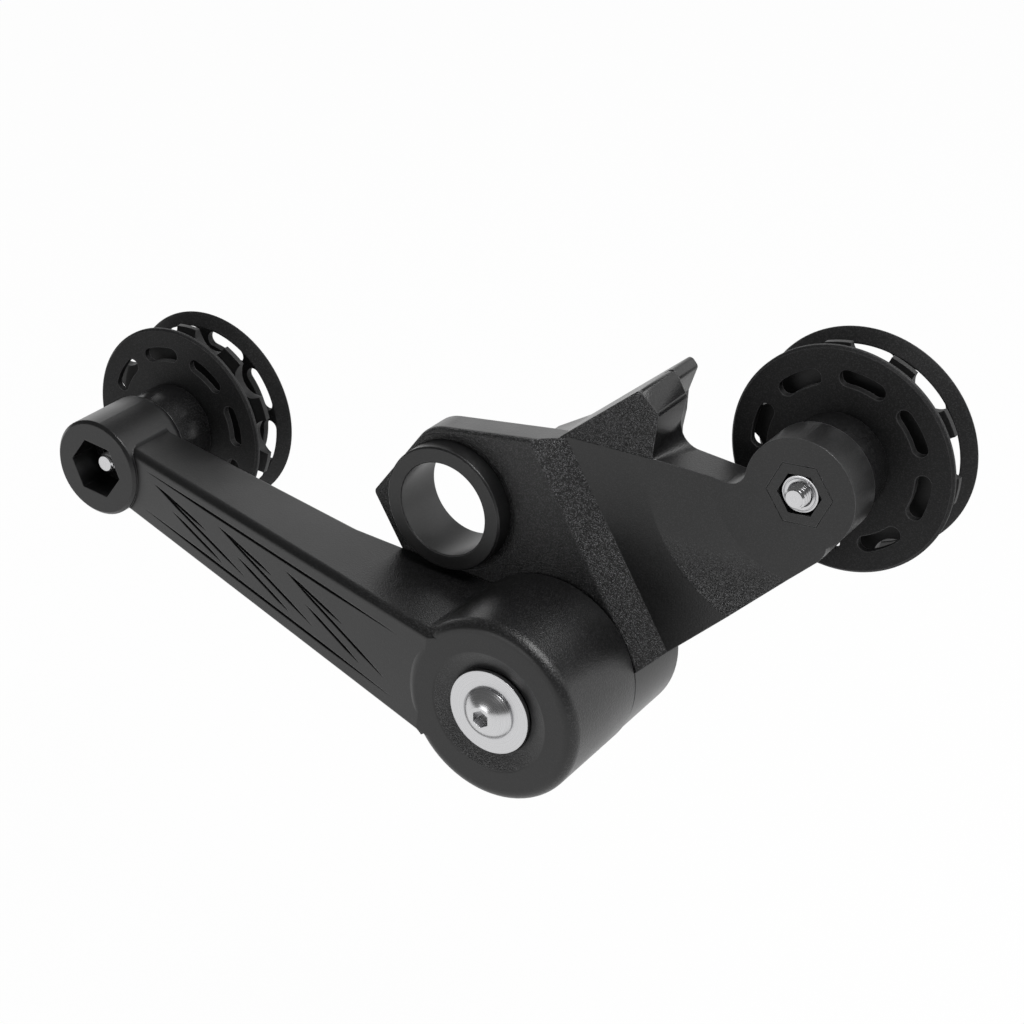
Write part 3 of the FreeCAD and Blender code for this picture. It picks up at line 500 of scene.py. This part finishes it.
def flat_turn(name, centre):
    """Angle of a flat's middle, from the corner of a CAD nut that stands furthest out."""
    flat = [(v.co.x - centre.x, v.co.z - centre.z) for v in frame["nodes"][name].data.vertices]
    x, z = max(flat, key=lambda p: math.hypot(*p))
    return math.atan2(z, x) + math.pi / 6


def add_thread(mesh, crest, core, pitch, top, bottom):
    """Helical thread between two heights, its end turned to a chamfer and closed."""
    part = bmesh.new()
    steps = 32
    turns = math.ceil((top - bottom) / pitch) + 2
    low = bottom - pitch
    profile = [(core, 0.0), (core, 0.10), (crest, 0.44), (crest, 0.56), (core, 0.90), (core, 1.0)]
    verts = [part.verts.new((r, 0.0, low + share * pitch)) for r, share in profile]
    edges = [part.edges.new(pair) for pair in zip(verts, verts[1:])]
    bmesh.ops.spin(part, geom=verts + edges, cent=(0, 0, 0), axis=(0, 0, 1), angle=2 * math.pi * turns,
                   steps=steps * turns, dvec=(0, 0, pitch / steps))
    bmesh.ops.remove_doubles(part, verts=part.verts, dist=1e-6)
    keep_below(part, (0, 0, top), (0, 0, 1))
    keep_below(part, (0, 0, bottom), (0, 0, -1))
    slope = crest - 0.6 * pitch
    for v in part.verts:
        reach = math.hypot(v.co.x, v.co.y)
        limit = slope + (v.co.z - bottom)
        if reach > limit:
            v.co.x *= limit / reach
            v.co.y *= limit / reach
    data = bpy.data.meshes.new("thread")
    part.to_mesh(data)
    part.free()
    mesh.from_mesh(data)
    bpy.data.meshes.remove(data)


# Sizes and colours that a user may change

class TensionerFinish(bpy.types.PropertyGroup):
    """Colours and surface of the pieces."""
    nylon: bpy.props.FloatVectorProperty(
        name="Nylon", description="Colour of the moulded pieces", subtype="COLOR", size=4,
        min=0.0, max=1.0, default=(0.0074, 0.0074, 0.0076, 1.0))
    steel: bpy.props.FloatVectorProperty(
        name="Steel", description="Colour of the plated steel pieces", subtype="COLOR", size=4,
        min=0.0, max=1.0, default=(0.66, 0.66, 0.67, 1.0))
    grain_depth: bpy.props.FloatProperty(
        name="Grain depth", description="Depth of the pitted grain in millimetres", default=0.14,
        min=0.0, max=0.5)
    edge_round: bpy.props.FloatProperty(
        name="Edge round", description="Radius that softens the mouldings' corners, in millimetres",
        default=0.3, min=0.0, max=2.0)


class TensionerScrews(bpy.types.PropertyGroup):
    """Sizes of the screw heads."""
    pivot_head: bpy.props.FloatProperty(
        name="Pivot head", description="Radius of the pivot screw's head", default=5.05 * MM,
        unit="LENGTH", precision=5)
    pivot_height: bpy.props.FloatProperty(
        name="Pivot head height", description="Height of the pivot screw's head", default=2.75 * MM,
        unit="LENGTH", precision=5)
    idler_head: bpy.props.FloatProperty(
        name="Idler head", description="Radius of the idler screws' heads", default=3.8 * MM,
        unit="LENGTH", precision=5)
    idler_height: bpy.props.FloatProperty(
        name="Idler head height", description="Height of the idler screws' heads", default=2.2 * MM,
        unit="LENGTH", precision=5)


class TensionerStudio(bpy.types.PropertyGroup):
    """Light and floor."""
    floor_drop: bpy.props.FloatProperty(
        name="Floor drop", description="Height of the floor below the mounting bore", default=0.138,
        unit="LENGTH")
    wall: bpy.props.FloatProperty(
        name="Wall", description="Brightness of the white wall behind", default=1.35, min=0.0)
    gloom: bpy.props.FloatProperty(
        name="Gloom", description="Brightness of the room above and in front", default=0.13, min=0.0)
    overhead_light: bpy.props.FloatProperty(
        name="Overhead light", description="Power of the softbox overhead, in watts", default=8.5,
        unit="POWER")
    front_light: bpy.props.FloatProperty(
        name="Front light", description="Power of the softbox in front, in watts", default=0.8,
        unit="POWER")


def dress(names, material):
    """Gives CAD nodes a material."""
    for name in names:
        node = frame["nodes"][name]
        node.data.materials.clear()
        node.data.materials.append(material)


class TENSIONER_OT_bracket(bpy.types.Operator):
    """Finishes the moulded bracket and its sleeve"""
    bl_idname = "tensioner.bracket"
    bl_label = "Bracket"

    def execute(self, context):
        look = context.scene.tensioner_finish
        dress(["bracket"], moulded_nylon("bracket_nylon", list(look.nylon), bracket_mask,
                                         depth=look.grain_depth, edge=look.edge_round))
        dress(["mount_sleeve"], moulded_nylon("sleeve_nylon", list(look.nylon), everywhere(0.05),
                                              rough=(0.36, 0.4), depth=0.01, edge=look.edge_round))
        return {"FINISHED"}


class TENSIONER_OT_lug(bpy.types.Operator):
    """Drafts the end of the lug's thick block out to the thin lip behind it"""
    bl_idname = "tensioner.lug"
    bl_label = "Lug end"

    def execute(self, context):
        mesh = bmesh.new()
        corners = LUG_END["front"] + LUG_END["back"]
        outer = [mesh.verts.new((x * MM, y * MM, z * MM)) for x, z, y in corners]
        for v in outer:
            mesh.verts.new(v.co + LUG_INWARD)
        bmesh.ops.convex_hull(mesh, input=mesh.verts[:])
        crown = [e for e in mesh.edges if outer[0] in e.verts and outer[2] in e.verts]
        bmesh.ops.bevel(mesh, geom=crown, offset=LUG_CROWN, offset_type="OFFSET", segments=6,
                        profile=0.5, affect="EDGES", material=-1)
        piece = new_piece(mesh, "lug_end", frame["nodes"]["bracket"].data.materials[0])
        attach(piece, "bracket_body")
        return {"FINISHED"}


class TENSIONER_OT_arm(bpy.types.Operator):
    """Finishes the moulded swing arm"""
    bl_idname = "tensioner.arm"
    bl_label = "Swing arm"

    def execute(self, context):
        look = context.scene.tensioner_finish
        # The arm's corners get only a faint painted highlight, and its pits painted glints
        dress(["swing_arm"], moulded_nylon("arm_nylon", list(look.nylon), arm_mask,
                                           depth=look.grain_depth, edge=look.edge_round, rim=0.15))
        return {"FINISHED"}


class TENSIONER_OT_idlers(bpy.types.Operator):
    """Finishes the guide discs, toothed wheels and spacers"""
    bl_idname = "tensioner.idlers"
    bl_label = "Idlers"

    def execute(self, context):
        look = context.scene.tensioner_finish
        names = ("front_guide", "rear_guide")
        discs = [side + "_" + name for side in ("sprung", "fixed") for name in names]
        matte = [1.5 * c for c in look.nylon[:3]] + [1.0]
        # All three get painted glints on their pits and painted highlights on their corners, the discs'
        # corners most
        dress(discs, moulded_nylon("guide_nylon", matte, everywhere(0.16), rough=(0.58, 0.64),
                                   depth=0.03, edge=0.35, gloss=0.25, sparkle=12.0, rim=0.6))
        dress(["sprung_toothed_wheel", "fixed_toothed_wheel"],
              moulded_nylon("wheel_nylon", matte, everywhere(0.2), rough=(0.50, 0.56),
                            depth=0.02, edge=0.2, gloss=0.35, sparkle=5.0))
        dress(["sprung_spacer", "fixed_spacer"],
              moulded_nylon("spacer_nylon", list(look.nylon), everywhere(0.1), rough=(0.24, 0.30),
                            depth=0.01, edge=0.2))
        return {"FINISHED"}


def wind_spring(material):
    """The CAD spring as one smooth piece, in place between the bracket and the arm, which hold its
    ends.
    """
    node = frame["nodes"]["torsion_spring"]
    mesh = bmesh.new()
    mesh.from_mesh(node.data)
    mesh.transform(node.matrix_world)
    bmesh.ops.remove_doubles(mesh, verts=mesh.verts, dist=1e-6)
    piece = new_piece(mesh, "wound_spring", material)
    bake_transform(piece)
    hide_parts("torsion_spring")


class TENSIONER_OT_steel(bpy.types.Operator):
    """Finishes the washers, bushes, pivot nut, sleeve and spring"""
    bl_idname = "tensioner.steel"
    bl_label = "Steel pieces"

    def execute(self, context):
        tone = list(context.scene.tensioner_finish.steel)
        dress(["pivot_washer"], plated_steel("washer_steel", tone, 0.3, PIVOT, 0.006))
        dress(["pivot_nut", "pivot_sleeve"], plated_steel("pivot_steel", tone, 0.28, PIVOT, 0.003))
        wind_spring(plated_steel("coiled_steel", tone, 0.28, PIVOT, 0.003))
        for side, centre in (("sprung", SPRUNG), ("fixed", FIXED)):
            dress([side + "_bush", side + "_washer"],
                  plated_steel(side + "_steel", tone, 0.22, centre, 0.003, 0.12))
        return {"FINISHED"}


class TENSIONER_OT_screws(bpy.types.Operator):
    """Models the button-head screws with their sockets and threads, and the idlers' nuts"""
    bl_idname = "tensioner.screws"
    bl_label = "Screws"

    def execute(self, context):
        sizes = context.scene.tensioner_screws
        tone = list(context.scene.tensioner_finish.steel)
        low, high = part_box("pivot_screw")
        height = sizes.pivot_height
        mesh = screw_mesh(sizes.pivot_head, height, high[1] - low[1] - height, PIVOT_THREAD, **M5)
        finish_piece(mesh, "polished_pivot_screw", along_y(PIVOT, low[1] + height, -1), "bracket_body",
                     plated_steel("polished_steel", tone, 0.25, PIVOT, 0.001, 0.1), "pivot_screw")
        for side, centre, body in (("sprung", SPRUNG, "arm_body"), ("fixed", FIXED, "bracket_body")):
            low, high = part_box(side + "_screw")
            height = sizes.idler_height
            mesh = screw_mesh(sizes.idler_head, height, high[1] - low[1] - height, IDLER_THREAD, **M4)
            finish_piece(mesh, side + "_threaded_screw", along_y(centre, high[1] - height, 1), body,
                         plated_steel(side + "_screw_steel", tone, 0.2, centre, 0.001, 0.08),
                         side + "_screw")
            low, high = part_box(side + "_nut")
            turn = flat_turn(side + "_nut", centre)
            mesh = nut_mesh(NUT_FLATS, NUT_BORE, high[1] - low[1], turn)
            finish_piece(mesh, side + "_lock_nut", along_y(centre, high[1], -1), body,
                         plated_steel(side + "_nut_steel", tone, 0.24, centre, 0.002, 0.05),
                         side + "_nut", 20.0)
        return {"FINISHED"}


class TENSIONER_OT_studio(bpy.types.Operator):
    """Sets up the floor, the surround, the lights and the camera"""
    bl_idname = "tensioner.studio"
    bl_label = "Studio"

    def execute(self, context):
        studio = context.scene.tensioner_studio
        mesh = bmesh.new()
        bmesh.ops.create_grid(mesh, x_segments=1, y_segments=1, size=6.0,
                              matrix=Matrix.Translation((0, 0, -studio.floor_drop)))
        data = bpy.data.meshes.new("floor")
        mesh.to_mesh(data)
        mesh.free()
        floor = bpy.data.objects.new("floor", data)
        context.scene.collection.objects.link(floor)
        data.materials.append(floor_material())
        surround(context.scene, studio.wall, studio.gloom)
        add_light("overhead_softbox", *OVERHEAD_BOX, studio.overhead_light)
        add_light("front_softbox", *FRONT_BOX, studio.front_light)
        camera_data = bpy.data.cameras.new("camera")
        camera_data.lens = CAMERA_LENS
        camera_data.sensor_width = CAMERA_SENSOR
        camera_data.clip_start = 0.01
        camera_data.clip_end = 20.0
        camera = bpy.data.objects.new("camera", camera_data)
        context.scene.collection.objects.link(camera)
        camera.location = CAMERA_PLACE
        camera.rotation_euler = CAMERA_TURN
        context.scene.camera = camera
        context.scene.view_settings.view_transform = "Standard"
        return {"FINISHED"}


def background_rays(t):
    """1 for the rays that show the background itself, in view or mirrored in a shiny piece."""
    path = t.add("ShaderNodeLightPath").outputs
    return t.either(path["Is Camera Ray"], path["Is Glossy Ray"], path["Is Transmission Ray"])


def floor_material():
    """Pale floor, shown white except for a trace of shadow."""
    material, t, shader = new_material("pale_floor")
    coords = t.add("ShaderNodeTexCoord").outputs["Object"]
    speck = t.add("ShaderNodeTexNoise", {"Scale": 40.0, "Vector": coords})
    colour = t.add("ShaderNodeMix", {"Factor": speck.outputs["Fac"], "A": (0.8, 0.8, 0.8, 1.0),
                                     "B": (0.82, 0.82, 0.82, 1.0)}, data_type="RGBA")
    t.links.new(colour.outputs["Result"], shader.inputs["Base Color"])
    shader.inputs["Roughness"].default_value = 0.8
    white = t.add("ShaderNodeEmission", {"Color": (1.0, 1.0, 1.0, 1.0), "Strength": 1.0})
    seen = t.math("MULTIPLY", background_rays(t), 0.97)
    mix = t.add("ShaderNodeMixShader", {"Fac": seen, 1: shader.outputs[0], 2: white.outputs[0]})
    output = next(n for n in t.nodes if n.type == "OUTPUT_MATERIAL")
    t.links.new(mix.outputs[0], output.inputs["Surface"])
    return material


def surround(scene, wall, gloom):
    """White wall behind and floor below, a dark room above and in front, and white past the object."""
    world = bpy.data.worlds.new("surround")
    scene.world = world
    world.use_nodes = True
    world.node_tree.nodes.clear()
    t = Tree(world.node_tree)
    way = t.add("ShaderNodeTexCoord").outputs["Generated"]
    side = t.add("ShaderNodeSeparateXYZ", {"Vector": way}).outputs
    behind = t.ramp(side["Y"], 0.10, 0.45)
    low = t.ramp(side["Z"], 0.46, 0.70, 1.0, 0.0)
    under = t.ramp(side["Z"], -0.05, 0.02, 1.0, 0.0)
    lit = t.either(t.both(behind, low, wall), under, gloom)
    seen = t.add("ShaderNodeLightPath").outputs["Is Camera Ray"]
    unseen = t.math("SUBTRACT", 1.0, seen)
    level = t.math("ADD", t.math("MULTIPLY", lit, unseen), seen)
    light = t.add("ShaderNodeBackground", {"Color": (1.0, 1.0, 1.0, 1.0), "Strength": level})
    output = t.add("ShaderNodeOutputWorld")
    t.links.new(light.outputs[0], output.inputs["Surface"])


def add_light(name, place, size, power):
    """Soft rectangular light that faces the middle of the part."""
    data = bpy.data.lights.new(name, "AREA")
    data.shape = "RECTANGLE"
    data.size, data.size_y = size
    data.energy = power
    light = bpy.data.objects.new(name, data)
    bpy.context.scene.collection.objects.link(light)
    light.visible_camera = False
    light.location = place
    light.rotation_euler = (-Vector(place)).to_track_quat("-Z", "Y").to_euler()
    return light


class TENSIONER_PT_panel(bpy.types.Panel):
    """Lists the steps that build the tensioner's looks"""
    bl_idname = "TENSIONER_PT_panel"
    bl_label = "Tensioner"
    bl_space_type = "VIEW_3D"
    bl_region_type = "UI"
    bl_category = "Tensioner"

    def draw(self, context):
        for operator in OPERATORS:
            self.layout.operator(operator.bl_idname)
        for group in (context.scene.tensioner_finish, context.scene.tensioner_screws,
                      context.scene.tensioner_studio):
            for key in group.bl_rna.properties.keys():
                if key not in ("rna_type", "name"):
                    self.layout.prop(group, key)


OPERATORS = (TENSIONER_OT_bracket, TENSIONER_OT_lug, TENSIONER_OT_arm, TENSIONER_OT_idlers,
             TENSIONER_OT_steel, TENSIONER_OT_screws, TENSIONER_OT_studio)
GROUP_TYPES = (TensionerFinish, TensionerScrews, TensionerStudio)


def register():
    for cls in GROUP_TYPES + OPERATORS + (TENSIONER_PT_panel,):
        bpy.utils.register_class(cls)
    bpy.types.Scene.tensioner_finish = bpy.props.PointerProperty(type=TensionerFinish)
    bpy.types.Scene.tensioner_screws = bpy.props.PointerProperty(type=TensionerScrews)
    bpy.types.Scene.tensioner_studio = bpy.props.PointerProperty(type=TensionerStudio)


def unregister():
    del bpy.types.Scene.tensioner_studio
    del bpy.types.Scene.tensioner_screws
    del bpy.types.Scene.tensioner_finish
    for cls in reversed(GROUP_TYPES + OPERATORS + (TENSIONER_PT_panel,)):
        bpy.utils.unregister_class(cls)


def main():
    """Registers the classes and builds everything."""
    register()
    for step in ("bracket", "lug", "arm", "idlers", "steel", "screws", "studio"):
        getattr(bpy.ops.tensioner, step)()


if __name__ == "__main__":
    main()
